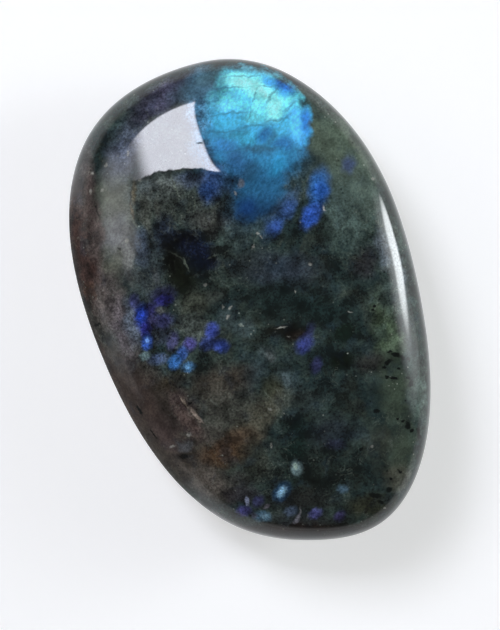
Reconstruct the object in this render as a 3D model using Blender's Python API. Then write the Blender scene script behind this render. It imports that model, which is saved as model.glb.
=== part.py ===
"""A polished labradorite palm stone, lying on its flatter face.

The stone is one solid piece of rock, ground to a long egg-like oval and polished all over.
Its upper face is a low dome, which slopes away broadly on the left and turns down over a tight
shoulder on the right. The underside is flatter and ends in a small true flat that it rests on.
+Z is up, +Y runs along the stone to the end with the bright blue flash, and the origin is at
the middle of its footprint, on the surface that it rests on. Lengths are in metres.
"""
import math

import bmesh
import bpy
import numpy as np
from mathutils import Vector

# Driving dimensions
LENGTH = 0.0600
WIDTH = 0.0395
THICKNESS = 0.0180
GIRDLE_HEIGHT = 0.0090  # the widest line round the stone, above the resting face
FLAT_CUT = 0.0004  # what grinding took off the lowest point to make the resting face

# The oval seen from above: points a constant step of angle apart, from +X towards +Y,
# as fractions of half the width and half the length
OUTLINE = [
    (0.987, 0.000),
    (0.962, 0.427),
    (0.709, 0.790),
    (0.319, 0.973),
    (-0.106, 0.997),
    (-0.527, 0.913),
    (-0.871, 0.633),
    (-0.997, 0.210),
    (-0.967, -0.203),
    (-0.805, -0.587),
    (-0.491, -0.850),
    (-0.101, -0.970),
    (0.314, -0.970),
    (0.673, -0.747),
    (0.886, -0.397),
]

# The section: a fullness of 2 is an ellipse, and more of it makes a flatter face and a tighter
# shoulder. The crown is the extra doming in the middle of a face, as a share of its height
TOP_FULLNESS_LEFT = 2.2
TOP_FULLNESS_RIGHT = 4.8
TOP_CROWN = 0.20
BASE_FULLNESS = 2.6
BASE_CROWN = 0.10
CREST_SHIFT = (0.0016, 0.0008)  # how far the crest lies from the middle of the oval

GRID = 26  # squares along each side of the six patches that cover the stone

STONE_COLOUR = (0.035, 0.042, 0.038, 1.0)
STONE_ROUGHNESS = 0.06


def clear_scene():
    for item in list(bpy.data.objects):
        bpy.data.objects.remove(item, do_unlink=True)


def stone_material():
    material = bpy.data.materials.new("polished_labradorite")
    material.use_nodes = True
    shader = material.node_tree.nodes["Principled BSDF"]
    shader.inputs["Base Color"].default_value = STONE_COLOUR
    shader.inputs["Roughness"].default_value = STONE_ROUGHNESS
    shader.inputs["Metallic"].default_value = 0.0
    material.diffuse_color = STONE_COLOUR
    return material


def outline_waves():
    """The waves that add up to one smooth closed curve through the points of OUTLINE."""
    points = np.array([complex(x, y) for x, y in OUTLINE])
    turns = np.fft.fftfreq(len(points), 1.0 / len(points))
    return turns, np.fft.fft(points) / len(points)


def outline_point(angle, waves):
    """Where the oval is at an angle, as fractions of half the width and half the length."""
    turns, sizes = waves
    point = np.sum(sizes * np.exp(1j * turns * angle))
    return point.real, point.imag


def even_ball(bm, squares):
    """A unit ball made from a cube, each of its six faces an even grid of squares."""
    bmesh.ops.create_cube(bm, size=2.0)
    bmesh.ops.subdivide_edges(bm, edges=bm.edges[:], cuts=squares - 1, use_grid_fill=True)
    for vert in bm.verts:
        spread = Vector([math.tan(part * math.pi / 4) for part in vert.co])
        vert.co = spread.normalized()


def stone_point(ball, waves):
    """The place on the stone of a point of the unit ball."""
    if ball.z > 0:
        mean = (TOP_FULLNESS_LEFT + TOP_FULLNESS_RIGHT) / 2
        fullness = mean + (TOP_FULLNESS_RIGHT - mean) * ball.x
        crown = TOP_CROWN
        height = THICKNESS - GIRDLE_HEIGHT
    else:
        fullness = BASE_FULLNESS
        crown = BASE_CROWN
        height = -(GIRDLE_HEIGHT + FLAT_CUT)

    level = math.hypot(ball.x, ball.y)
    rise = abs(ball.z)
    stretch = (level**fullness + rise**fullness) ** (-1 / fullness)
    out = level * stretch
    up = rise * stretch

    edge_x, edge_y = outline_point(math.atan2(ball.y, ball.x), waves)
    x = edge_x * out * WIDTH / 2
    y = edge_y * out * LENGTH / 2
    if ball.z > 0:
        lean = up**2 * (1 - out**2)
        x += CREST_SHIFT[0] * lean
        y += CREST_SHIFT[1] * lean
    z = GIRDLE_HEIGHT + height * up * (1 - crown * out**2)
    return Vector((x, y, z))


def fit_footprint(bm):
    """Centre the oval on the origin and bring it to exactly the stated width and length."""
    for axis, size in ((0, WIDTH), (1, LENGTH)):
        low = min(vert.co[axis] for vert in bm.verts)
        high = max(vert.co[axis] for vert in bm.verts)
        for vert in bm.verts:
            vert.co[axis] = (vert.co[axis] - (low + high) / 2) * size / (high - low)


def grind_resting_face(bm):
    """Cut the lowest part off at z = 0 and close the cut with one flat face."""
    everything = bm.verts[:] + bm.edges[:] + bm.faces[:]
    cut = bmesh.ops.bisect_plane(
        bm, geom=everything, dist=1e-9, plane_co=(0, 0, 0), plane_no=(0, 0, -1), clear_outer=True
    )
    rim = [item for item in cut["geom_cut"] if isinstance(item, bmesh.types.BMEdge)]
    bmesh.ops.contextual_create(bm, geom=rim)
    bmesh.ops.recalc_face_normals(bm, faces=bm.faces[:])


def build_stone(collection):
    waves = outline_waves()
    bm = bmesh.new()
    even_ball(bm, GRID)
    for vert in bm.verts:
        vert.co = stone_point(vert.co, waves)
    fit_footprint(bm)
    grind_resting_face(bm)

    mesh = bpy.data.meshes.new("labradorite_stone")
    bm.to_mesh(mesh)
    bm.free()
    mesh.shade_smooth()
    mesh.materials.append(stone_material())
    stone = bpy.data.objects.new("labradorite_stone", mesh)
    collection.objects.link(stone)


def main():
    clear_scene()
    collection = bpy.data.collections.new("polished_labradorite")
    bpy.context.scene.collection.children.link(collection)
    build_stone(collection)


main()
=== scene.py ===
"""The finish, light and camera of a polished labradorite palm stone.

The stone's smooth surface is worked out from the same values as its solid, and every marking in
it is procedural: cloudy dark feldspar, the blue flash at one end, small blue and pale flecks,
black grains, rust and healed cracks. A few zones are painted reflections and painted haze beside
the highlights. Marks are placed as they lie in the picture, in pixels, and the shader works in
millimetres, in the stone's own axes. Everything else is in metres.
"""

import math

import bmesh
import bpy
import numpy as np
from mathutils import Matrix, Vector


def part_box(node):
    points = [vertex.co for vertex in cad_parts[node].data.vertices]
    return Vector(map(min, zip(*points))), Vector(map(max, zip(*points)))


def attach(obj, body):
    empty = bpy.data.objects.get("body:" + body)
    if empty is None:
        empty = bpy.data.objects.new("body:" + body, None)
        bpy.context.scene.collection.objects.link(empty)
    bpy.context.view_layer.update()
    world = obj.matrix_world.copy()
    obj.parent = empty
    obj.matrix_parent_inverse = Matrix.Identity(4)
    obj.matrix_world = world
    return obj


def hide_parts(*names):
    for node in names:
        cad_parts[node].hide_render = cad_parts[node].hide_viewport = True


NODE = "labradorite_stone"
MM = 0.001

# The stone's shape, as its solid has it
OUTLINE = [
    (0.987, 0.000),
    (0.962, 0.427),
    (0.709, 0.790),
    (0.319, 0.973),
    (-0.106, 0.997),
    (-0.527, 0.913),
    (-0.871, 0.633),
    (-0.997, 0.210),
    (-0.967, -0.203),
    (-0.805, -0.587),
    (-0.491, -0.850),
    (-0.101, -0.970),
    (0.314, -0.970),
    (0.673, -0.747),
    (0.886, -0.397),
]
TOP_FULLNESS_LEFT = 2.2
TOP_FULLNESS_RIGHT = 4.8
TOP_CROWN = 0.20
BASE_FULLNESS = 2.6
BASE_CROWN = 0.10
CREST_SHIFT = (0.0016, 0.0008)
GIRDLE_HEIGHT = 0.0090
FLAT_CUT = 0.0004
FINE_GRID = 120  # squares along each side of the six patches that cover the stone
RESTING_SLICE = 0.0001  # what lies lower than this stays exactly as the solid has it

# Polishing leaves the surface very slightly wavy: direction, wavelength, depth and phase
WAVES = [
    ((1.0, 0.3, 0.2), 0.0110, 0.000008, 0.4),
    ((-0.4, 1.0, 0.3), 0.0085, 0.000006, 2.1),
    ((0.6, -0.7, 0.5), 0.0062, 0.000004, 4.0),
    ((0.2, 0.8, -0.6), 0.0047, 0.000002, 1.2),
]

# The picture's frame: the camera looks straight down, turned by the angle that the stone
# leans in the picture. PICTURE_HEIGHT is how much fits in it, at the level of the girdle
PICTURE_TURN = math.radians(-20.0)
PICTURE_HEIGHT = 0.07581
PICTURE_MIDDLE = (-0.00124, -0.00081)
CAMERA_DISTANCE = 0.50
SENSOR = 36.0  # millimetres, along the picture's height
FLOOR_SIZE = 6.0
PANEL_DISTANCE = 0.7  # from each light to the point that it is aimed at

# A pale matt surface on the stone's upper face looks this bright in the studio
LIGHT_LEVEL = 1.04

# Every mark on the dome is an oval, placed as it lies in the picture: x and y of its middle in
# pixels, half length, half width, and turn from right towards up. Then come the colour that it
# looks, from 0 to 255, and how far it takes the stone to that colour
PICTURE_SIZE = (500, 630)
PIXEL = 0.1188  # millimetres of the dome for each pixel
PICTURE_UP = (0.342, 0.940, 0.0)  # the picture's upward direction, along the stone
MARKS_FADE = (6.5, 9.5)  # the marks fade in between these heights, in millimetres
HAZE_GLOW = 0.012  # how much streaks and flecks are lifted, as they glow from inside

# What noise alone spreads over the feldspar
GROUND_DARK = (29, 43, 43)
GROUND_LIGHT = (55, 69, 63)
WARM_CLOUD = (54, 57, 46)
COOL_CLOUD = (36, 52, 64)
FIBRE = (96, 102, 92)
FINE_VEIN = (112, 120, 108)
PALE_SPECK = (158, 164, 152)
BLACK_SPECK = (10, 16, 14)

# Broad zones of the feldspar, with a few painted reflections and painted haze beside the
# highlights
ZONES = [
    # the left flank, its brown partly a painted reflection, and the paler band along it
    # brown on the left flank: partly the stone's own, partly a painted reflection of
    # skin-coloured surroundings
    ((84, 250, 74, 15, 101), (60, 42, 37), 0.95),
    # the pale band: partly a milky veil in the stone, partly a painted reflection of a broad dim
    # light
    ((94, 215, 60, 8, 99), (88, 76, 72), 0.8),
    ((98, 243, 26, 8, 97), (102, 92, 87), 0.75),
    # brown on the lower left flank: partly the stone's own, partly a painted reflection of
    # skin-coloured surroundings
    ((116, 395, 78, 17, 117), (64, 52, 46), 0.95),
    ((150, 405, 60, 24, 122), (68, 58, 52), 0.9),
    ((185, 455, 44, 26, 140), (76, 68, 60), 0.85),
    ((150, 270, 40, 16, 95), (63, 73, 77), 0.65),
    # more of the pale band, partly a milky veil and partly a painted reflection
    ((114, 204, 34, 13, 97), (102, 108, 94), 0.85),
    ((118, 242, 28, 13, 97), (116, 118, 120), 0.85),
    ((113, 262, 15, 11, 90), (98, 102, 86), 0.75),
    ((128, 260, 24, 5, 100), (112, 114, 110), 0.7),
    ((109, 300, 28, 15, 100), (100, 92, 88), 0.85),
    ((123, 330, 30, 11, 102), (104, 98, 102), 0.85),
    ((133, 321, 23, 8, 98), (106, 118, 132), 0.85),
    # painted haze of the big highlight, along its left and upper edges
    ((122, 152, 26, 14, 70), (91, 100, 118), 0.85),
    ((160, 99, 34, 13, 36), (73, 71, 93), 0.85),
    ((190, 90, 24, 9, 24), (64, 72, 86), 0.8),
    ((90, 290, 9, 5, 100), (80, 56, 42), 0.6),
    # from the highlight to the middle
    # painted haze of the big highlight, just below its lower edge
    ((156, 190, 28, 15, 10), (84, 92, 88), 0.85),
    ((172, 183, 38, 6, 8), (94, 101, 97), 0.75),
    ((180, 205, 34, 15, 0), (62, 68, 62), 0.65),
    ((146, 214, 18, 6, 95), (82, 86, 78), 0.8),
    ((158, 208, 11, 3, 105), (74, 76, 68), 0.7),
    ((141, 246, 17, 7, 97), (74, 86, 102), 0.85),
    ((166, 234, 18, 10, 90), (40, 48, 62), 0.8),
    ((195, 262, 30, 24, 100), (17, 25, 24), 0.85),
    ((192, 245, 20, 12, -15), (10, 15, 36), 0.95),
    ((206, 261, 12, 7, -10), (14, 22, 46), 0.85),
    ((181, 272, 24, 13, 115), (18, 21, 10), 0.9),
    ((218, 250, 9, 4, 0), (14, 18, 16), 0.7),
    ((213, 222, 24, 11, 0), (66, 66, 62), 0.7),
    ((234, 184, 13, 9, 0), (38, 38, 54), 0.8),
    ((232, 205, 10, 6, 60), (44, 54, 40), 0.6),
    ((150, 281, 15, 11, 80), (46, 52, 52), 0.65),
    ((176, 291, 12, 8, 20), (16, 22, 15), 0.8),
    ((158, 277, 12, 3, 120), (76, 80, 82), 0.5),
    ((196, 304, 18, 11, 25), (72, 76, 64), 0.75),
    ((216, 297, 8, 6, 0), (86, 94, 86), 0.6),
    ((193, 327, 18, 10, 0), (88, 96, 90), 0.75),
    ((161, 336, 10, 8, 0), (62, 70, 86), 0.65),
    ((236, 236, 15, 10, 0), (82, 98, 90), 0.75),
    ((228, 318, 8, 10, 0), (66, 78, 78), 0.6),
    ((243, 328, 11, 8, 0), (64, 78, 80), 0.65),
    # the middle
    ((280, 270, 36, 17, 0), (48, 56, 68), 0.75),
    ((365, 262, 15, 12, 80), (46, 42, 46), 0.65),
    ((240, 262, 24, 15, 0), (38, 42, 40), 0.5),
    ((290, 304, 32, 20, 0), (16, 30, 30), 0.8),
    ((281, 330, 19, 8, 8), (18, 17, 11), 0.85),
    ((298, 333, 9, 5, 0), (54, 41, 34), 0.6),
    ((344, 333, 14, 9, 30), (12, 24, 15), 0.85),
    ((341, 360, 15, 10, 20), (6, 13, 5), 0.9),
    ((330, 312, 24, 14, 0), (22, 36, 34), 0.65),
    ((318, 395, 26, 12, 20), (30, 42, 42), 0.5),
    ((268, 354, 13, 6, 140), (78, 92, 92), 0.65),
    ((289, 381, 13, 8, 135), (72, 88, 90), 0.7),
    ((255, 372, 17, 10, 60), (54, 68, 72), 0.65),
    ((300, 402, 20, 14, 0), (55, 66, 64), 0.6),
    ((220, 385, 30, 18, 20), (66, 58, 49), 0.85),
    ((272, 388, 12, 10, 80), (52, 52, 36), 0.7),
    ((250, 295, 22, 14, 0), (24, 37, 36), 0.6),
    # the right side
    ((337, 148, 46, 26, 128), (84, 98, 84), 0.95),
    ((364, 190, 26, 14, 118), (90, 106, 97), 0.85),
    ((345, 212, 30, 18, 108), (76, 93, 87), 0.85),
    ((330, 182, 18, 10, 60), (76, 92, 85), 0.6),
    # painted sheen along and beside the highlight on the right shoulder
    ((384, 250, 18, 7, 102), (104, 114, 122), 0.75),
    ((398, 262, 30, 5, 104), (112, 122, 128), 0.6),
    ((322, 112, 16, 8, 125), (74, 88, 80), 0.7),
    ((362, 140, 58, 6, 119), (62, 76, 66), 0.75),
    ((312, 165, 14, 9, 60), (54, 70, 72), 0.5),
    ((385, 328, 28, 12, 100), (74, 90, 68), 0.9),
    ((396, 342, 13, 8, 100), (90, 106, 86), 0.7),
    ((372, 362, 17, 10, 20), (46, 42, 40), 0.65),
    ((395, 393, 32, 15, 95), (64, 76, 62), 0.85),
    ((419, 393, 34, 8, 92), (78, 94, 87), 0.85),
    ((402, 455, 28, 12, 78), (68, 79, 66), 0.85),
    ((403, 481, 13, 7, 60), (102, 107, 98), 0.75),
    ((377, 440, 15, 12, 0), (62, 68, 58), 0.7),
    ((396, 477, 13, 9, 60), (86, 86, 74), 0.7),
    ((370, 506, 22, 11, 15), (50, 50, 34), 0.75),
    ((334, 432, 24, 15, 0), (30, 36, 46), 0.7),
    ((325, 470, 36, 20, 0), (18, 25, 22), 0.8),
    ((295, 446, 34, 13, 90), (12, 28, 24), 0.85),
    ((388, 300, 19, 8, 100), (68, 80, 76), 0.6),
    # the lower left and the lower end
    ((160, 400, 28, 4, 114), (44, 40, 35), 0.6),
    ((186, 412, 30, 11, 128), (84, 70, 66), 0.85),
    ((224, 410, 30, 22, 0), (76, 76, 68), 0.85),
    ((257, 420, 36, 12, 45), (84, 82, 68), 0.8),
    ((172, 382, 16, 8, 30), (62, 54, 38), 0.7),
    ((250, 440, 14, 10, 30), (84, 77, 63), 0.75),
    ((240, 482, 12, 9, 0), (62, 59, 58), 0.6),
    ((218, 438, 14, 10, 120), (76, 72, 64), 0.7),
    ((225, 453, 20, 12, 10), (80, 58, 38), 0.85),
    ((236, 438, 16, 9, 20), (84, 66, 50), 0.75),
    ((166, 432, 18, 12, 118), (70, 60, 57), 0.8),
    ((186, 446, 7, 5, 0), (86, 90, 94), 0.7),
    ((183, 456, 8, 4, 20), (20, 20, 16), 0.85),
    ((210, 485, 24, 13, 150), (89, 83, 76), 0.85),
    ((240, 495, 15, 7, 0), (50, 46, 52), 0.7),
    ((256, 462, 20, 16, 90), (50, 52, 44), 0.65),
    ((273, 477, 9, 8, 0), (20, 26, 24), 0.6),
    ((300, 500, 38, 12, 0), (34, 33, 30), 0.75),
    ((300, 520, 40, 6, 0), (58, 62, 62), 0.6),
    # painted shade: dark and reddish along the lower edge
    ((300, 530, 64, 7, 0), (34, 22, 18), 0.85),
]

# Where the rock is coarser, and where it is smoother
COARSE = [
    (182, 228, 58, 50, 0),
    (170, 335, 44, 34, 110),
]
SMOOTH = [
    (112, 220, 60, 18, 98),
    (206, 84, 30, 14, 15),
    (145, 420, 76, 24, 122),
    (345, 160, 75, 34, 125),
    (392, 420, 70, 26, 95),
]

# The flash from its lower end upwards: where each next colour begins and where it is full, in
# millimetres along the picture's upward direction
FLASH_BASE = (27, 62, 98)
FLASH_STEPS = [
    (10.5, 14.0, (40, 96, 132)),
    (14.5, 18.5, (46, 124, 166)),
    (18.0, 22.0, (58, 168, 212)),
    (22.0, 25.5, (92, 208, 236)),
]
FLASH_LINE = (34, 100, 122)
MOST_BRIGHT = 0.95  # no part of the flash's colour is brighter

# The blue haze round the flash, the ovals that together make the flash's outline, then what
# lies within it
HAZE = [
    ((204, 118, 44, 15, 95), (84, 136, 170), 0.9),
    ((200, 88, 26, 11, 22), (70, 98, 112), 0.75),
    ((222, 74, 24, 8, 12), (80, 112, 122), 0.8),
    ((226, 165, 28, 17, 125), (50, 88, 122), 0.85),
    ((253, 190, 42, 22, 70), (36, 66, 88), 0.85),
    ((301, 164, 20, 8, 70), (48, 72, 84), 0.65),
    ((190, 179, 16, 8, 0), (58, 72, 96), 0.7),
]
FLASH = [
    (251, 85, 30, 18, -6),
    (247, 116, 38, 30, -10),
    (224, 143, 26, 14, -58),
    (232, 152, 28, 16, -48),
    (258, 160, 22, 20, 0),
    (287, 113, 29, 18, 105),
    (300, 129, 23, 11, 85),
    (276, 152, 32, 25, 60),
    (263, 184, 34, 22, 66),
    (251, 205, 18, 14, 60),
]
FLASH_PATCHES = [
    ((252, 69, 22, 5, -6), (70, 148, 168), 0.8),
    ((244, 82, 17, 8, -8), (146, 246, 240), 1.0),
    ((262, 92, 13, 7, -20), (148, 250, 244), 0.95),
    ((275, 109, 13, 9, 60), (142, 250, 248), 0.95),
    ((230, 96, 12, 5, 10), (92, 204, 240), 0.8),
    ((228, 106, 14, 5, 0), (104, 214, 252), 0.9),
    ((245, 109, 9, 7, 0), (92, 205, 240), 0.8),
    ((221, 123, 15, 7, 0), (62, 184, 226), 0.9),
    ((241, 121, 12, 5, 10), (66, 178, 214), 0.8),
    ((256, 116, 10, 8, 30), (102, 216, 226), 0.8),
    ((258, 103, 8, 6, 70), (122, 234, 242), 0.8),
    ((289, 104, 9, 6, 40), (112, 228, 250), 0.85),
    ((286, 93, 9, 5, 20), (62, 170, 236), 0.8),
    ((283, 85, 12, 5, -24), (28, 120, 212), 1.0),
    ((268, 81, 7, 4, -30), (54, 150, 214), 0.8),
    ((296, 126, 17, 7, 100), (84, 192, 254), 0.95),
    ((306, 121, 14, 5, 93), (30, 122, 200), 1.0),
    ((303, 143, 9, 4, 80), (70, 172, 236), 0.8),
    ((284, 126, 8, 6, 50), (72, 188, 228), 0.8),
    ((250, 138, 12, 6, 20), (60, 178, 214), 0.85),
    ((237, 135, 11, 4, 15), (40, 138, 166), 0.75),
    ((264, 135, 9, 6, 40), (20, 110, 168), 0.9),
    ((209, 134, 12, 7, 100), (56, 150, 196), 0.75),
    ((216, 148, 14, 8, 120), (52, 138, 182), 0.8),
    ((224, 147, 12, 7, 0), (46, 122, 180), 0.7),
    ((238, 163, 16, 9, 130), (44, 98, 142), 0.9),
    ((283, 144, 9, 6, 0), (34, 110, 172), 0.75),
    ((278, 163, 13, 7, 60), (46, 144, 190), 0.85),
    ((262, 161, 8, 6, 0), (52, 134, 178), 0.7),
    ((258, 150, 15, 3, 0), (42, 90, 112), 0.75),
    ((250, 173, 11, 8, 60), (38, 82, 110), 0.8),
    ((247, 208, 10, 8, 50), (20, 56, 104), 0.85),
]
FLASH_LINES = [
    (214, 90, 17, 1.0, 14),
    (243, 76, 20, 0.8, 4),
    (233, 88, 15, 0.8, 4),
    (268, 86, 9, 0.8, 0),
    (229, 114, 19, 1.2, 8),
    (222, 132, 19, 1.2, 4),
    (252, 127, 17, 1.2, 10),
    (275, 121, 13, 1.2, 14),
    (270, 98, 6, 1.4, 65),
    (275, 90, 7, 1.0, 50),
    (291, 106, 10, 1.2, 45),
    (286, 118, 10, 1.3, 45),
    (272, 137, 13, 1.8, 50),
    (254, 96, 8, 0.8, 70),
    (250, 112, 8, 0.8, 80),
    (262, 147, 17, 1.4, -4),
    (232, 151, 11, 1.0, 10),
]

# Patches with crisper edges
SHADES = [
    # dark ones
    ((193, 247, 16, 9, -15), (13, 20, 36), 0.95),
    ((197, 263, 15, 8, 0), (5, 11, 21), 0.95),
    ((180, 275, 21, 10, 112), (13, 17, 9), 0.9),
    ((218, 250, 9, 4, 0), (12, 16, 14), 0.7),
    ((341, 361, 11, 6, 20), (8, 14, 7), 0.6),
    ((281, 331, 16, 5, 8), (16, 16, 10), 0.7),
    ((151, 313, 6, 12, 80), (22, 28, 44), 0.6),
    # brown ribs along the lower left
    ((143, 399, 36, 7, 119), (70, 58, 53), 0.6),
    ((163, 438, 18, 6, 128), (76, 64, 61), 0.7),
    ((164, 396, 15, 5, 112), (44, 42, 35), 0.65),
    ((177, 424, 16, 4, 128), (44, 38, 35), 0.65),
    ((191, 425, 16, 6, 130), (90, 75, 69), 0.75),
]

# Royal-blue streaks and patches below the flash
STREAKS = [
    ((211, 184, 16, 10, 80), (36, 70, 122), 0.8),
    ((208, 191, 8, 6, 75), (36, 78, 140), 0.65),
    ((281, 214, 24, 8, 57), (46, 82, 124), 0.85),
    ((276, 227, 8, 6, 50), (38, 74, 146), 0.8),
    ((288, 210, 9, 6, 60), (52, 88, 150), 0.7),
    ((315, 203, 9, 5, 65), (38, 86, 150), 0.8),
    ((319, 187, 16, 9, 78), (38, 98, 162), 0.95),
    ((321, 191, 9, 6, 85), (40, 104, 200), 0.8),
    ((311, 216, 12, 7, 58), (38, 84, 172), 0.95),
    ((309, 220, 6, 5, 50), (42, 94, 196), 0.8),
    ((349, 165, 8, 6, 90), (60, 76, 120), 0.75),
]

# Small blue and pale flecks, away from the flash
FLECKS = [
    # the group on the left
    ((134, 302, 7, 5, 90), (72, 78, 134), 0.85),
    ((150, 310, 9, 6, 40), (28, 26, 86), 0.8),
    ((141, 316, 11, 6, 85), (32, 64, 164), 0.95),
    ((141, 315, 6, 4, 85), (34, 74, 196), 0.85),
    ((146, 329, 8, 5, 80), (48, 52, 158), 0.9),
    ((151, 348, 6, 4, 20), (12, 26, 20), 0.8),
    ((147, 342, 7.5, 5, 80), (46, 90, 182), 0.95),
    ((147.5, 340, 3.2, 2.2, 80), (112, 156, 216), 0.75),
    ((145, 356, 5, 4, 20), (108, 134, 134), 0.85),
    ((163, 296, 12, 9, 20), (30, 32, 70), 0.75),
    ((164, 300, 8, 5, 10), (38, 38, 124), 0.85),
    ((163, 321, 10, 7, 10), (44, 46, 96), 0.75),
    ((160, 310, 4.5, 3.5, 0), (92, 96, 92), 0.6),
    ((152, 322, 8, 4, 85), (46, 42, 86), 0.6),
    ((173, 341, 9, 5, 75), (66, 66, 112), 0.7),
    ((190, 344, 6.5, 6, 60), (72, 68, 136), 0.85),
    ((182, 354, 7, 5, 60), (50, 90, 160), 0.9),
    ((175, 362, 7, 5.5, 65), (58, 122, 194), 1.0),
    ((188.5, 367, 6.2, 4.4, 15), (66, 116, 160), 1.0),
    ((188, 367, 3.2, 2.0, 15), (100, 152, 190), 0.8),
    ((158, 359, 9, 5, 12), (76, 96, 134), 0.75),
    ((212, 331, 8, 6, 70), (58, 78, 168), 0.9),
    ((208, 343, 8, 6, 35), (52, 72, 142), 0.8),
    ((221, 346, 7.5, 6, 0), (48, 74, 158), 0.9),
    # the middle
    ((304, 344, 10, 7, 50), (40, 50, 116), 0.85),
    ((309, 332, 9, 4.5, 70), (40, 46, 88), 0.65),
    ((316, 365, 8, 5, 70), (40, 42, 88), 0.75),
    ((270, 356, 5.5, 3.5, 130), (112, 122, 120), 0.75),
    ((286, 378, 6, 3, 120), (92, 108, 110), 0.5),
    ((241, 325, 2.2, 1.5, 0), (122, 132, 122), 0.8),
    ((241, 184, 4, 3, 80), (112, 116, 122), 0.7),
    # the pale scratch on the lower left
    ((184.5, 402.5, 6.5, 1.1, 127), (152, 138, 120), 0.85),
    ((196, 415, 9, 1.8, 132), (176, 160, 144), 0.95),
    ((178, 408, 7, 1.0, 128), (92, 80, 72), 0.6),
    # the lower end
    ((296.5, 467.5, 9, 7.5, 90), (22, 38, 40), 0.8),
    ((296.5, 467.5, 6.2, 5.0, 100), (108, 132, 132), 1.0),
    ((295.5, 466, 3.0, 2.4, 100), (150, 170, 154), 0.7),
    ((281.5, 492, 10, 6.5, 55), (30, 74, 112), 0.85),
    ((282, 491.5, 6, 3.6, 55), (140, 186, 212), 1.0),
    ((247, 501, 4.6, 1.9, 100), (172, 182, 212), 0.95),
    ((244, 512, 7, 5, 10), (70, 68, 130), 0.85),
    ((258, 502, 6, 5, 40), (52, 54, 98), 0.8),
    ((262, 517, 8, 5, -8), (80, 116, 138), 0.95),
    ((264, 517, 4, 2.4, 0), (118, 150, 166), 0.7),
    ((254, 516, 3, 2.4, 0), (112, 112, 132), 0.7),
    ((267, 507, 3.5, 1.6, 30), (112, 108, 118), 0.8),
    ((291, 511.5, 6, 4.6, 30), (66, 82, 104), 0.85),
    ((297.5, 519, 5, 1.9, 62), (140, 140, 150), 0.9),
    ((300.5, 512, 3.5, 1.3, 90), (110, 110, 112), 0.7),
    ((315.5, 514, 6.2, 4.6, 30), (84, 86, 146), 0.95),
    ((340, 516.5, 6, 4.6, 40), (58, 52, 100), 0.85),
    ((342.5, 489, 5, 3.6, 0), (66, 92, 108), 0.85),
    ((335, 444, 9, 5, 0), (42, 46, 72), 0.6),
]

# Black grains
GRAIN = (8, 14, 12)
GRAINS = [
    (395, 354.5, 5.5, 2.2, -10),
    (390, 351.5, 3, 1.6, 20),
    (402, 357.5, 3.4, 2, -30),
    (387.5, 362, 3.6, 2.2, 20),
    (384, 367, 2, 1.6, 0),
    (408, 359, 2.6, 1.7, 0),
    (393.5, 378, 4.6, 1.5, -12),
    (387, 377, 2, 1.4, 0),
    (399, 368, 1.8, 1.2, 0),
    (411, 383, 4.4, 2, 75),
    (408, 378, 2, 1.5, 0),
    (376, 411, 3.4, 1.9, -3),
    (408, 425, 4.4, 3, 80),
    (403, 421, 2.6, 1.7, 30),
    (411.5, 430.5, 2.6, 1.8, 0),
    (397.5, 418.5, 1.8, 1.4, 0),
    (419, 434, 6, 1.8, 98),
    (389.5, 490, 3.4, 2.4, 40),
    (376, 496, 5.6, 2.4, -5),
    (381, 503, 3.4, 1.8, -30),
    (400, 472, 3, 1.4, -40),
    (391, 479, 1.4, 1.2, 0),
    (374, 306, 2.2, 1.6, 0),
    (373, 309.5, 1.4, 1.6, 0),
    (361, 449, 2.6, 1.6, 0),
    (120, 248.5, 2.2, 1.5, 0),
    (139, 411, 6, 1.4, 122),
    (153, 435, 6, 0.9, 122),
    (96, 325, 4, 1.3, 20),
    (190, 403, 1.8, 1.4, 0),
]

# Pale specks, hairlines and the healed crack beside the pale band
THREAD = (160, 160, 150)
DARK_THREAD = (30, 30, 26)
PALE_VEIN = (92, 100, 88)
GOLD_THREAD = (100, 88, 64)
THREADS = [
    (310, 264.5, 1.6, 1.5, 0),
    (253, 247, 2.2, 1.1, 70),
    (258, 233.5, 1.8, 1.2, 0),
    (261, 237, 1.6, 0.9, 120),
    (295, 292, 1.6, 0.6, 70),
    (231, 307.5, 1.9, 1.3, 30),
    (223, 307, 1.0, 1.6, 0),
    (228, 317, 2.4, 0.9, 60),
    (205.5, 285, 1.5, 1.4, 0),
    (289, 337, 1.0, 0.8, 0),
    (349, 311.5, 2.2, 0.9, -20),
    (281, 327.5, 5, 0.6, 12),
    (235, 194, 1.8, 1.0, 100),
    (324, 209, 2.6, 0.9, 120),
    (373, 179, 1.6, 1.2, 0),
    (189, 435, 2.2, 1.8, 0),
    (172, 447, 3, 1.0, 20),
    (271.5, 445, 0.9, 2.2, 0),
    (270, 409, 1.8, 1.2, 0),
    (372, 446, 1.5, 1.2, 0),
    (127, 241, 2.2, 2.0, 0),
    (128, 153, 2.6, 1.6, 90),
    (106, 165, 2.0, 1.4, 60),
    (92, 173, 1.6, 1.4, 0),
    (102, 190, 1.6, 1.6, 0),
    (90, 191, 1.0, 2.4, 0),
    (140, 180, 1.6, 1.6, 0),
    (385, 509, 1.5, 1.0, 0),
]
DARK_THREADS = [
    (132, 216, 8, 0.9, 118),
    (131, 197, 9, 0.8, 84),
    (176, 257, 7, 0.9, -35),
    (97, 211, 9, 0.9, 110),
]
PALE_VEINS = [
    (176, 255, 7, 0.9, -32),
    (186, 264, 6, 0.9, -62),
    (213, 257, 5, 0.8, 20),
    (134, 222, 8, 1.0, 120),
    (175, 187, 12, 0.9, 108),
    (195, 206, 6, 0.8, 85),
]
GOLD_THREADS = [
    (134, 193, 11, 2.0, 88),
    (132, 211, 7, 1.4, 100),
]

# A tiny pit in the polish inside the highlight, and where the polish is duller
PIT = (60, 78, 84)
PITS = [
    (199.4, 143.3, 2.8, 0.7, -8),
]
DULL = [
    (80, 280, 118, 16, 104),
    (140, 428, 110, 19, 122),
]
PIT_STRENGTH = 0.95
DULL_STRENGTH = 0.85

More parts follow.
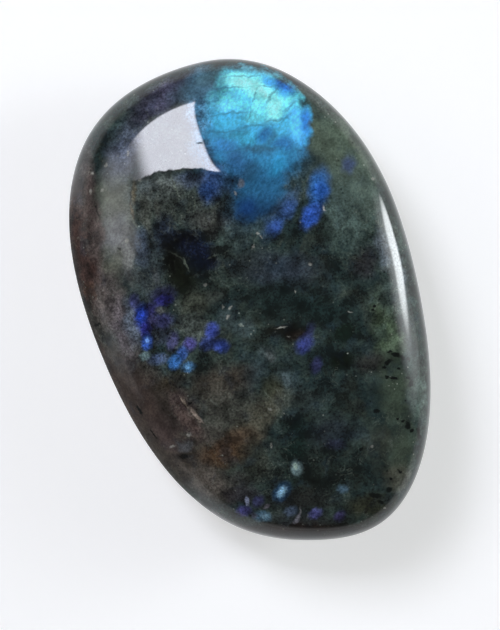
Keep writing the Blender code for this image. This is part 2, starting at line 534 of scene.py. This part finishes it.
# The surface: a matt body under a clear polish
BODY_ROUGHNESS = 0.45
POLISH_ROUGHNESS = 0.02
FELDSPAR_IOR = 1.56

# Where a Mix node has its factor, its two colours and the colour that it makes
MIX_FACTOR = 0
MIX_BELOW = 6
MIX_ABOVE = 7
MIX_MADE = 2


def srgb(red, green, blue):
    """A colour given as it looks on a screen, from 0 to 255, as linear values."""
    values = []
    for part in (red, green, blue):
        part /= 255
        values.append(part / 12.92 if part <= 0.04045 else ((part + 0.055) / 1.055) ** 2.4)
    return (*values, 1.0)


def stone_colour(red, green, blue, haze=0.0):
    """The stone's own colour where it looks like this on a screen in the studio's light."""
    values = [(part + haze) / LIGHT_LEVEL for part in srgb(red, green, blue)[:3]]
    return (*values, 1.0)


class Paint:
    """Short ways to add shader nodes to one material, light or world."""

    def __init__(self, tree):
        self.tree = tree
        tree.nodes.clear()

    def node(self, kind, **settings):
        made = self.tree.nodes.new("ShaderNode" + kind)
        for name, value in settings.items():
            setattr(made, name, value)
        return made

    def plug(self, socket, value):
        if isinstance(value, bpy.types.NodeSocket):
            self.tree.links.new(value, socket)
        else:
            socket.default_value = value

    def math(self, operation, first, second=0.0, third=0.0):
        made = self.node("Math", operation=operation)
        for socket, value in zip(made.inputs, (first, second, third)):
            self.plug(socket, value)
        return made.outputs[0]

    def vector(self, operation, first, second=(0.0, 0.0, 0.0), scale=None):
        made = self.node("VectorMath", operation=operation)
        self.plug(made.inputs[0], first)
        self.plug(made.inputs[1], second)
        if scale is not None:
            self.plug(made.inputs["Scale"], scale)
        return made.outputs["Value" if operation in ("LENGTH", "DOT_PRODUCT") else "Vector"]

    def ramp(self, value, low, high, start=0.0, end=1.0):
        """Smoothly from start to end as the value goes from low to high, and level beyond."""
        made = self.node("MapRange", interpolation_type="SMOOTHSTEP", clamp=False)
        for socket, number in zip(made.inputs[:5], (value, low, high, start, end)):
            self.plug(socket, number)
        return made.outputs[0]

    def mix(self, share, below, above):
        made = self.node("Mix", data_type="RGBA", clamp_factor=False)
        self.plug(made.inputs[MIX_FACTOR], share)
        self.plug(made.inputs[MIX_BELOW], below)
        self.plug(made.inputs[MIX_ABOVE], above)
        return made.outputs[MIX_MADE]

    def lift(self, colour, amount):
        """A colour made lighter or darker."""
        return self.mix(amount, (0.0, 0.0, 0.0, 1.0), colour)

    def dim(self, colour, most):
        """A colour with none of its parts brighter than a limit."""
        made = self.node("Mix", data_type="RGBA", blend_type="DARKEN")
        made.inputs[MIX_FACTOR].default_value = 1.0
        self.plug(made.inputs[MIX_BELOW], colour)
        made.inputs[MIX_ABOVE].default_value = (most, most, most, 1.0)
        return made.outputs[MIX_MADE]

    def edge(self, value, crisp, wide, halo):
        """From 0 to 1 across an edge: crisp for the most part, wide for the halo's share."""
        main = self.ramp(value, *crisp, 0.0, 1.0 - halo)
        return self.math("ADD", main, self.ramp(value, *wide, 0.0, halo))

    def noise(self, where, scale, detail=4.0, roughness=0.5, output="Fac"):
        made = self.node("TexNoise", noise_type="FBM", normalize=True)
        self.plug(made.inputs["Vector"], where)
        self.plug(made.inputs["Scale"], scale)
        self.plug(made.inputs["Detail"], detail)
        self.plug(made.inputs["Roughness"], roughness)
        return made.outputs[output]

    def wander(self, where, scale, detail, amount):
        """The place, moved about by up to some amount in every direction."""
        made = self.noise(where, scale, detail, output="Color")
        move = self.vector("SUBTRACT", made, (0.5, 0.5, 0.5))
        return self.vector("ADD", where, self.vector("SCALE", move, scale=amount))

    def wobble(self, where, scale, amount):
        """A number that wavers about zero, by up to half an amount either way."""
        made = self.noise(where, scale, 2.0)
        return self.math("MULTIPLY", self.math("SUBTRACT", made, 0.5), amount)

    def flat(self, along, across):
        """A place on a flat panel, from its two measures."""
        made = self.node("CombineXYZ")
        self.plug(made.inputs[0], along)
        self.plug(made.inputs[1], across)
        return made.outputs[0]

    def stretch(self, where, turn, scales):
        """The place as measured along turned axes, each with its own unit."""
        made = self.node("Mapping", vector_type="TEXTURE")
        self.plug(made.inputs["Vector"], where)
        made.inputs["Rotation"].default_value = (0.0, 0.0, math.radians(turn))
        made.inputs["Scale"].default_value = scales
        return made.outputs[0]

    def nearness(self, where, spot, soft):
        """How near a place is to the middle of an oval, from 0 a little outside its edge."""
        x, y, half_length, half_width, turn = spot
        outer = 1.0 + soft
        made = self.node("Mapping", vector_type="TEXTURE")
        self.plug(made.inputs["Vector"], where)
        made.inputs["Location"].default_value = (x, y, 0.0)
        made.inputs["Rotation"].default_value = (0.0, 0.0, math.radians(turn))
        made.inputs["Scale"].default_value = (half_length * outer, half_width * outer, 1e6)
        ball = self.node("TexGradient", gradient_type="SPHERICAL")
        self.plug(ball.inputs[0], made.outputs[0])
        return ball.outputs["Fac"]

    def cover(self, where, spots, soft, strength=1.0):
        """How much of a place a group of ovals covers, soft either side of their edges."""
        near = self.nearness(where, spots[0], soft)
        for spot in spots[1:]:
            near = self.math("MAXIMUM", near, self.nearness(where, spot, soft))
        return self.ramp(near, 0.0, 2 * soft / (1 + soft), 0.0, strength)


def outline_points(angles):
    """The oval at each angle, as fractions of half the width and half the length."""
    points = np.array([complex(x, y) for x, y in OUTLINE])
    turns = np.fft.fftfreq(len(points), 1.0 / len(points))
    sizes = np.fft.fft(points) / len(points)
    curve = np.zeros(angles.shape, complex)
    for turn, size in zip(turns, sizes):
        curve += size * np.exp(1j * turn * angles)
    return curve.real, curve.imag


def stone_points(ball, size):
    """The places on the stone of points of the unit ball, for the stone's size in metres."""
    above = ball[:, 2] > 0
    mean = (TOP_FULLNESS_LEFT + TOP_FULLNESS_RIGHT) / 2
    top_fullness = mean + (TOP_FULLNESS_RIGHT - mean) * ball[:, 0]
    fullness = np.where(above, top_fullness, BASE_FULLNESS)
    crown = np.where(above, TOP_CROWN, BASE_CROWN)
    height = np.where(above, size.z - GIRDLE_HEIGHT, -(GIRDLE_HEIGHT + FLAT_CUT))

    level = np.hypot(ball[:, 0], ball[:, 1])
    rise = np.abs(ball[:, 2])
    stretch = (level**fullness + rise**fullness) ** (-1 / fullness)
    out = level * stretch
    up = rise * stretch

    edge_x, edge_y = outline_points(np.arctan2(ball[:, 1], ball[:, 0]))
    lean = np.where(above, up**2 * (1 - out**2), 0.0)
    x = edge_x * out * size.x / 2 + CREST_SHIFT[0] * lean
    y = edge_y * out * size.y / 2 + CREST_SHIFT[1] * lean
    z = GIRDLE_HEIGHT + height * up * (1 - crown * out**2)
    return np.stack([x, y, np.maximum(z, 0.0)], axis=1)


def fit_between(points, low, high):
    """Bring the points' box to the box between two corners."""
    least = points.min(axis=0)
    share = (points - least) / (points.max(axis=0) - least)
    return np.array(low) + share * (np.array(high) - np.array(low))


def waviness(points):
    """How deep the polish dips at each point."""
    depth = np.zeros(len(points))
    for direction, wavelength, amount, phase in WAVES:
        along = points @ np.array(Vector(direction).normalized())
        depth += amount * (1 + np.sin(along * 2 * math.pi / wavelength + phase))
    return depth


def make_stone():
    """The polished surface, in place of the faceted solid."""
    bm = bmesh.new()
    bmesh.ops.create_cube(bm, size=2.0)
    bmesh.ops.subdivide_edges(bm, edges=bm.edges[:], cuts=FINE_GRID - 1, use_grid_fill=True)
    mesh = bpy.data.meshes.new("polished_stone")
    bm.to_mesh(mesh)
    bm.free()

    ball = np.empty(len(mesh.vertices) * 3)
    mesh.vertices.foreach_get("co", ball)
    ball = np.tan(ball.reshape(-1, 3) * math.pi / 4)
    ball /= np.linalg.norm(ball, axis=1, keepdims=True)
    low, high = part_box(NODE)
    points = fit_between(stone_points(ball, high - low), low, high)
    mesh.vertices.foreach_set("co", points.ravel())
    mesh.update()

    normals = np.empty(len(mesh.vertices) * 3)
    mesh.vertex_normals.foreach_get("vector", normals)
    dips = normals.reshape(-1, 3) * waviness(points)[:, None]
    dips[points[:, 2] < RESTING_SLICE] = 0.0
    mesh.vertices.foreach_set("co", (points - dips).ravel())
    mesh.shade_smooth()
    mesh.update()

    stone = bpy.data.objects.new("polished_stone", mesh)
    bpy.context.scene.collection.objects.link(stone)
    return stone


def on_stone(spot):
    """An oval placed in the picture, as it lies on the stone in millimetres."""
    x, y, half_length, half_width, turn = spot
    right = (x - PICTURE_SIZE[0] / 2) * PIXEL
    up = (PICTURE_SIZE[1] / 2 - y) * PIXEL
    level = math.cos(PICTURE_TURN)
    lean = math.sin(PICTURE_TURN)
    return (
        PICTURE_MIDDLE[0] / MM + right * level - up * lean,
        PICTURE_MIDDLE[1] / MM + right * lean + up * level,
        half_length * PIXEL,
        half_width * PIXEL,
        turn + math.degrees(PICTURE_TURN),
    )


def stone_cover(paint, where, spots, soft, strength=1.0):
    """How much of a place on the stone is covered by ovals that are placed in the picture."""
    return paint.cover(where, [on_stone(spot) for spot in spots], soft, strength)


def paint_marks(paint, colour, where, marks, soft, haze=0.0):
    """Lay ovals over a colour one after another, each with its own colour and strength."""
    for spot, tint, strength in marks:
        share = stone_cover(paint, where, [spot], soft, strength)
        colour = paint.mix(share, colour, stone_colour(*tint, haze))
    return colour


def paint_group(paint, colour, where, spots, soft, tint, strength):
    """Lay a group of ovals over a colour, all with one colour and strength."""
    share = stone_cover(paint, where, spots, soft, strength)
    return paint.mix(share, colour, stone_colour(*tint))


def paint_feldspar_and_reflections(paint, solid, loose, uneven):
    """Cloudy grey-green rock in broad zones, a few of them painted reflections and haze, with
    fine grain and thin veins.
    """
    cloud = paint.ramp(paint.noise(loose, 0.20, 4.0, 0.6), 0.36, 0.66)
    colour = paint.mix(cloud, stone_colour(*GROUND_DARK), stone_colour(*GROUND_LIGHT))
    warm = paint.ramp(paint.noise(loose, 0.31, 2.0), 0.50, 0.66, 0.0, 0.40)
    colour = paint.mix(warm, colour, stone_colour(*WARM_CLOUD))
    colour = paint_marks(paint, colour, uneven, ZONES, 0.6)
    cool = paint.ramp(paint.noise(uneven, 0.40, 3.0), 0.52, 0.68, 0.0, 0.30)
    colour = paint.mix(cool, colour, stone_colour(*COOL_CLOUD))

    coarse = stone_cover(paint, uneven, COARSE, 0.6, 0.40)
    fibre = paint.noise(paint.stretch(loose, 62.0, (2.4, 0.55, 1.0)), 1.0, 3.0, 0.6)
    fibre = paint.math("MULTIPLY", paint.ramp(fibre, 0.50, 0.70), coarse)
    colour = paint.mix(fibre, colour, stone_colour(*FIBRE))

    level = paint.noise(loose, 0.5, 3.0, 0.55)
    gap = paint.math("ABSOLUTE", paint.math("SUBTRACT", level, 0.5))
    line = paint.ramp(gap, 0.002, 0.020, 1.0, 0.0)
    patch = paint.ramp(paint.noise(solid, 0.22, 2.0), 0.50, 0.62, 0.0, 0.28)
    vein = paint.math("MULTIPLY", line, patch)
    return paint.mix(vein, colour, stone_colour(*FINE_VEIN))


def paint_grain(paint, colour, solid, inside):
    """Soft mottling and fine grain, fainter where the rock is smooth and in the flash."""
    coarse = stone_cover(paint, solid, COARSE, 0.6, 0.20)
    smooth = stone_cover(paint, solid, SMOOTH, 0.6, 0.32)
    contrast = paint.math("ADD", 0.62, paint.math("SUBTRACT", coarse, smooth))
    contrast = paint.math("MULTIPLY", contrast, paint.math("MULTIPLY_ADD", inside, -0.75, 1.0))
    mottle = paint.ramp(paint.noise(solid, 0.55, 4.0, 0.6), 0.30, 0.70, -1.0, 1.0)
    grain = paint.ramp(paint.noise(solid, 3.4, 2.0, 0.7), 0.25, 0.75, -0.85, 0.85)
    for pattern in (mottle, grain):
        colour = paint.lift(colour, paint.math("MULTIPLY_ADD", pattern, contrast, 1.0))
    return colour


def paint_specks(paint, colour, solid):
    """Pinpricks of pale and of black mineral, crowded in some places."""
    crowd = paint.ramp(paint.noise(solid, 0.26, 2.0), 0.42, 0.64, 0.15, 1.0)
    cells = paint.node("TexVoronoi", feature="F1")
    paint.plug(cells.inputs["Vector"], solid)
    paint.plug(cells.inputs["Scale"], 2.1)
    near = cells.outputs["Distance"]
    pick = paint.node("SeparateColor")
    paint.plug(pick.inputs[0], cells.outputs["Color"])
    pale = paint.math("MULTIPLY", paint.ramp(near, 0.09, 0.28, 1.0, 0.0), crowd)
    pale = paint.math("MULTIPLY", pale, paint.ramp(pick.outputs[0], 0.80, 1.0, 0.0, 0.70))
    black = paint.ramp(near, 0.14, 0.40, 1.0, 0.0)
    black = paint.math("MULTIPLY", black, paint.ramp(pick.outputs[1], 0.82, 0.98, 0.0, 0.62))
    colour = paint.mix(black, colour, stone_colour(*BLACK_SPECK))
    return paint.mix(pale, colour, stone_colour(*PALE_SPECK))


def paint_flash(paint, solid, ragged):
    """The blue flash, brightest and greenest at the stone's end."""
    upward = paint.vector("DOT_PRODUCT", ragged, PICTURE_UP)
    colour = stone_colour(*FLASH_BASE)
    for start, full, tint in FLASH_STEPS:
        colour = paint.mix(paint.ramp(upward, start, full), colour, stone_colour(*tint))
    colour = paint_marks(paint, colour, ragged, FLASH_PATCHES, 0.7)
    silk = paint.noise(paint.stretch(solid, 40.0, (0.55, 0.32, 0.4)), 1.0, 3.0, 0.65)
    colour = paint.lift(colour, paint.ramp(silk, 0.25, 0.75, 0.74, 1.28))
    colour = paint_group(paint, colour, ragged, FLASH_LINES, 0.7, FLASH_LINE, 0.5)
    pale = paint.ramp(upward, 15.0, 21.5, 0.0, 0.035)
    colour = paint.mix(pale, paint.lift(colour, 1.25), (1.0, 1.0, 1.0, 1.0))
    return paint.dim(colour, MOST_BRIGHT)


def paint_details(paint, colour, ragged, fine):
    """Blue streaks, small blue and pale flecks, black grains, hairlines and healed cracks."""
    colour = paint_marks(paint, colour, ragged, SHADES, 0.8)
    colour = paint_marks(paint, colour, ragged, STREAKS, 0.7, HAZE_GLOW)
    colour = paint_marks(paint, colour, fine, FLECKS, 0.55, HAZE_GLOW)
    colour = paint_group(paint, colour, fine, GRAINS, 0.4, GRAIN, 0.95)
    colour = paint_group(paint, colour, fine, DARK_THREADS, 0.6, DARK_THREAD, 0.7)
    colour = paint_group(paint, colour, fine, GOLD_THREADS, 0.9, GOLD_THREAD, 0.6)
    colour = paint_group(paint, colour, fine, PALE_VEINS, 0.7, PALE_VEIN, 0.6)
    return paint_group(paint, colour, fine, THREADS, 0.6, THREAD, 0.6)


def build_material():
    material = bpy.data.materials.new("polished_labradorite")
    material.use_nodes = True
    paint = Paint(material.node_tree)
    place = paint.node("TexCoord").outputs["Object"]
    solid = paint.vector("SCALE", place, scale=1 / MM)
    height = paint.vector("DOT_PRODUCT", solid, (0.0, 0.0, 1.0))
    upper = paint.ramp(height, *MARKS_FADE)
    fine = paint.wander(solid, 2.2, 2.0, 0.55)
    ragged = paint.wander(solid, 0.8, 2.0, 1.0)
    loose = paint.wander(solid, 0.28, 3.0, 8.0)
    broken = paint.wander(solid, 0.75, 4.0, 2.2)
    uneven = paint.wander(solid, 0.50, 3.0, 2.2)

    # the rock's colour, whose zones include a few painted reflections and painted haze
    rock = paint_feldspar_and_reflections(paint, solid, loose, uneven)
    rock = paint_specks(paint, rock, solid)
    top = paint_marks(paint, rock, uneven, HAZE, 0.6)
    flash = paint_flash(paint, solid, ragged)
    inside = stone_cover(paint, broken, FLASH, 0.34)
    top = paint.mix(inside, top, flash)
    top = paint_details(paint, top, ragged, fine)
    colour = paint.mix(upper, rock, top)
    colour = paint_grain(paint, colour, solid, paint.math("MULTIPLY", inside, upper))

    pits = stone_cover(paint, fine, PITS, 0.5, PIT_STRENGTH)
    dull = stone_cover(paint, uneven, DULL, 0.4, DULL_STRENGTH)
    polish = paint.math("SUBTRACT", 1.0, paint.math("MAXIMUM", pits, dull))
    colour = paint.mix(pits, colour, stone_colour(*PIT))

    shader = paint.node("BsdfPrincipled")
    paint.plug(shader.inputs["Base Color"], colour)
    paint.plug(shader.inputs["Coat Weight"], polish)
    shader.inputs["Roughness"].default_value = BODY_ROUGHNESS
    shader.inputs["Specular IOR Level"].default_value = 0.0
    shader.inputs["Coat Roughness"].default_value = POLISH_ROUGHNESS
    shader.inputs["Coat IOR"].default_value = FELDSPAR_IOR
    out = paint.node("OutputMaterial")
    paint.plug(out.inputs["Surface"], shader.outputs[0])
    return material


def build_camera():
    lens = bpy.data.cameras.new("camera")
    lens.sensor_fit = "AUTO"
    lens.sensor_width = SENSOR
    lens.lens = SENSOR * CAMERA_DISTANCE / PICTURE_HEIGHT
    lens.clip_start = 0.01
    lens.clip_end = 10.0
    camera = bpy.data.objects.new("camera", lens)
    camera.location = (*PICTURE_MIDDLE, GIRDLE_HEIGHT + CAMERA_DISTANCE)
    camera.rotation_euler = (0.0, 0.0, PICTURE_TURN)
    bpy.context.scene.collection.objects.link(camera)
    bpy.context.scene.camera = camera


def picture_direction(turn, elevation):
    """A direction given by its angle in the picture, from right towards up, and its elevation."""
    around = math.radians(turn) + PICTURE_TURN
    rise = math.radians(elevation)
    level = math.cos(rise)
    return Vector((math.cos(around) * level, math.sin(around) * level, math.sin(rise)))


def add_panel(name, aim, facing, roll, middle, size, radiance):
    """A flat rectangular light, square to a direction from the point that it is aimed at.

    Its sizes, and how far its middle is from that direction, are as seen from 1 m away. It
    returns the light's paint, how far a place is along and across, and the shader of its glow.
    """
    away = Vector(facing).normalized()
    side = Vector((0.0, 0.0, 1.0)).cross(away).normalized()
    rise = away.cross(side)
    turn = math.radians(roll)
    first = side * math.cos(turn) + rise * math.sin(turn)
    second = rise * math.cos(turn) - side * math.sin(turn)

    light = bpy.data.lights.new(name, "AREA")
    light.shape = "RECTANGLE"
    light.size = size[0] * PANEL_DISTANCE
    light.size_y = size[1] * PANEL_DISTANCE
    light.energy = radiance * math.pi * light.size * light.size_y
    panel = bpy.data.objects.new(name, light)
    turned = Matrix((first, second, away)).transposed().to_4x4()
    spot = Vector(aim) + PANEL_DISTANCE * (away + first * middle[0] + second * middle[1])
    panel.matrix_world = Matrix.Translation(spot) @ turned
    panel.visible_camera = False
    bpy.context.scene.collection.objects.link(panel)

    light.use_nodes = True
    paint = Paint(light.node_tree)
    place = paint.node("NewGeometry").outputs["Position"]
    offset = paint.vector("SUBTRACT", place, tuple(Vector(aim) + PANEL_DISTANCE * away))
    offset = paint.vector("SCALE", offset, scale=1 / PANEL_DISTANCE)
    along = paint.vector("DOT_PRODUCT", offset, tuple(first))
    across = paint.vector("DOT_PRODUCT", offset, tuple(second))
    glow = paint.node("Emission")
    out = paint.node("OutputLight")
    paint.plug(out.inputs["Surface"], glow.outputs[0])
    return paint, along, across, glow


def build_key():
    """The big soft light, upper left: four-sided, its sides bowed and one end slanting."""
    aim = (-0.003, 0.021, 0.016)
    facing = (-0.211, 0.522, 0.826)
    paint, along, across, glow = add_panel(
        "key", aim, facing, 74.0, (0.0265, -0.0575), (0.712, 0.565), 13.5
    )
    square = paint.math("MULTIPLY", across, across)

    # The two soft edges, each with a faint halo: a bowed end, and the side next to it
    bowed_end = paint.math("SUBTRACT", along, paint.math("MULTIPLY", square, 0.72))
    share = paint.edge(bowed_end, (-0.244, -0.218), (-0.32, -0.21), 0.12)
    soft_side = paint.edge(across, (-0.210, -0.085), (-0.335, -0.14), 0.24)
    share = paint.math("MULTIPLY", share, soft_side)

    # The crisp side, which is hollow
    middle = paint.math("SUBTRACT", along, 0.05)
    hollow = paint.math("MULTIPLY", paint.math("MULTIPLY", middle, middle), 0.50)
    hollow = paint.math("SUBTRACT", hollow, paint.math("MULTIPLY", middle, 0.01))
    crisp_side = paint.math("SUBTRACT", across, hollow)
    share = paint.math("MULTIPLY", share, paint.ramp(crisp_side, 0.156, 0.166, 1.0, 0.0))

    # The slanting end, bowed in its middle and a little uneven
    slant = paint.math("SUBTRACT", along, paint.math("MULTIPLY", across, 0.536))
    bow = paint.math("SUBTRACT", 0.05, paint.math("MULTIPLY", square, 1.38))
    slant = paint.math("ADD", slant, paint.math("MAXIMUM", bow, 0.0))
    slant = paint.math("ADD", slant, paint.wobble(paint.flat(along, across), 14.0, 0.05))
    share = paint.math("MULTIPLY", share, paint.ramp(slant, 0.196, 0.207, 1.0, 0.0))
    paint.plug(glow.inputs["Strength"], share)
    glow.inputs["Color"].default_value = (0.93, 0.95, 1.06, 1.0)


def build_side():
    """The low light on the right: a soft leaning oval, with a dim one past each of its ends."""
    aim = (0.0175, 0.004, 0.015)
    facing = picture_direction(12.0, 17.0)
    paint, along, across, glow = add_panel(
        "side", aim, facing, 0.0, (-0.06, 0.12), (0.76, 0.80), 15.5
    )
    place = paint.flat(along, across)
    bright = paint.cover(place, [(0.05, 0.02, 0.25, 0.105, 122.0)], 0.40)
    low_glow = paint.cover(place, [(-0.17, 0.05, 0.26, 0.15, 100.0)], 0.9, 0.17)
    high_glow = paint.cover(place, [(-0.01, 0.13, 0.24, 0.15, 118.0)], 0.9, 0.36)
    share = paint.math("MAXIMUM", paint.math("MAXIMUM", bright, low_glow), high_glow)
    paint.plug(glow.inputs["Strength"], share)
    glow.inputs["Color"].default_value = (0.93, 0.98, 1.0, 1.0)


def build_fill():
    """The broad dim light on the left, which fades downwards and towards its ends."""
    aim = (-0.0125, 0.013, 0.0145)
    facing = picture_direction(174.0, 34.0)
    paint, along, across, glow = add_panel(
        "fill", aim, facing, 0.0, (0.0, 0.06), (0.84, 0.78), 1.5
    )
    slant = paint.math("SUBTRACT", across, paint.math("MULTIPLY", along, 0.2))
    drop = paint.math("MAXIMUM", paint.math("SUBTRACT", along, 0.08), 0.0)
    slant = paint.math("ADD", slant, paint.math("MULTIPLY", drop, 0.8))
    slant = paint.math("ADD", slant, paint.wobble(paint.flat(along, across), 9.0, 0.09))
    upper = paint.ramp(slant, 0.32, 0.43, 1.0, 0.0)
    lower = paint.ramp(across, -0.24, 0.12, 0.0, 1.0)
    end = paint.ramp(along, 0.02, 0.32, 1.0, 0.0)
    start = paint.ramp(along, -0.40, -0.25, 0.0, 1.0)
    share = paint.math("MULTIPLY", paint.math("MULTIPLY", upper, lower), end)
    paint.plug(glow.inputs["Strength"], paint.math("MULTIPLY", share, start))


def build_studio():
    bpy.ops.mesh.primitive_plane_add(size=FLOOR_SIZE)
    floor = bpy.context.object
    floor.name = "floor"
    material = bpy.data.materials.new("pale_floor")
    material.use_nodes = True
    shader = material.node_tree.nodes["Principled BSDF"]
    shader.inputs["Base Color"].default_value = (0.68, 0.68, 0.68, 1.0)
    shader.inputs["Roughness"].default_value = 0.9
    shader.inputs["Specular IOR Level"].default_value = 0.1
    shader.inputs["Emission Color"].default_value = (1.0, 1.0, 1.0, 1.0)
    shader.inputs["Emission Strength"].default_value = 0.50
    floor.data.materials.append(material)

    build_key()
    build_side()
    build_fill()

    world = bpy.data.worlds.new("studio")
    bpy.context.scene.world = world
    world.use_nodes = True
    paint = Paint(world.node_tree)
    place = paint.node("TexCoord").outputs["Generated"]
    height = paint.vector("DOT_PRODUCT", place, (0.0, 0.0, 1.0))
    sky = paint.node("Background")
    paint.plug(sky.inputs["Strength"], paint.ramp(height, 0.04, 0.22, 0.95, 0.10))
    out = paint.node("OutputWorld")
    paint.plug(out.inputs["Surface"], sky.outputs[0])

    bpy.context.scene.view_settings.view_transform = "Standard"


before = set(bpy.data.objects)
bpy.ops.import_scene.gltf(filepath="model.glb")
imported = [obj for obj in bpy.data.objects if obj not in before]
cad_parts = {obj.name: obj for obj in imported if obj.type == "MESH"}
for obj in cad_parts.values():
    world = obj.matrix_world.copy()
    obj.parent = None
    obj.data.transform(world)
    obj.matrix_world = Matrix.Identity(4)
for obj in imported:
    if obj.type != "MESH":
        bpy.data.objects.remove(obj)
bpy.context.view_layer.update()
stone = make_stone()
stone.data.materials.append(build_material())
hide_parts(NODE)
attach(stone, "root")
build_camera()
build_studio()
